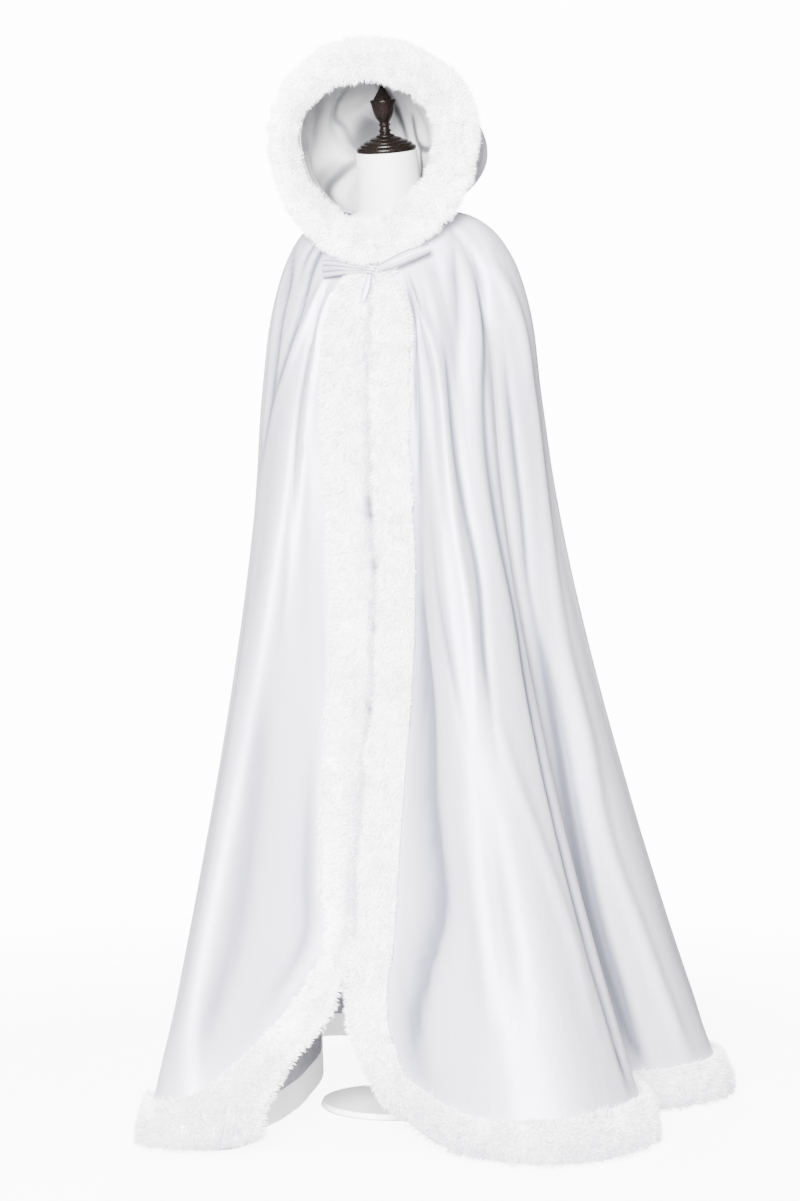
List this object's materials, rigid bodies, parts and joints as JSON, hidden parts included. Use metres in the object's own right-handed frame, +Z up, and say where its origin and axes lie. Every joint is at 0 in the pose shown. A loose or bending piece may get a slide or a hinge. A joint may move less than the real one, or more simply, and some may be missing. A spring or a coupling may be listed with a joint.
{
  "type": "hooded cloak on a dress form",
  "caption": "Full-length flared hooded cloak in satin with wide plush trim and a ribbon tie, worn by a limbless dress form on a pole stand.",
  "frame": {"origin": "centre of the stand base's underside, on the floor", "axes": "+Z up, -Y out of the cloak's front opening, +X to the wearer's left"},
  "size_m": [0.9249, 1.0412, 1.8851],
  "materials": {
    "satin": "smooth satin with a soft sheen",
    "lining": "smooth satin",
    "plush": "long soft pile",
    "form": "matt, covered in plain cloth",
    "wood": "dark gloss lacquer",
    "stand": "white enamel"
  },
  "bodies": {
    "root": {"back": "satin", "front_left": "satin", "front_right": "satin", "hood_left": "satin", "hood_right": "satin", "hood_lining_left": "lining", "hood_lining_right": "lining", "hem_facing": "lining", "hood_fur": "plush", "front_fur_left": "plush", "front_fur_right": "plush", "hem_fur_left": "plush", "hem_fur_back": "plush", "hem_fur_right": "plush", "tie_left": "satin", "tie_right": "satin", "tie_tail": "satin", "tie_knot": "satin", "form_torso": "form", "form_neck": "form", "form_cap": "wood", "stand_pole": "stand", "stand_base": "stand"}
  },
  "joints": []
}
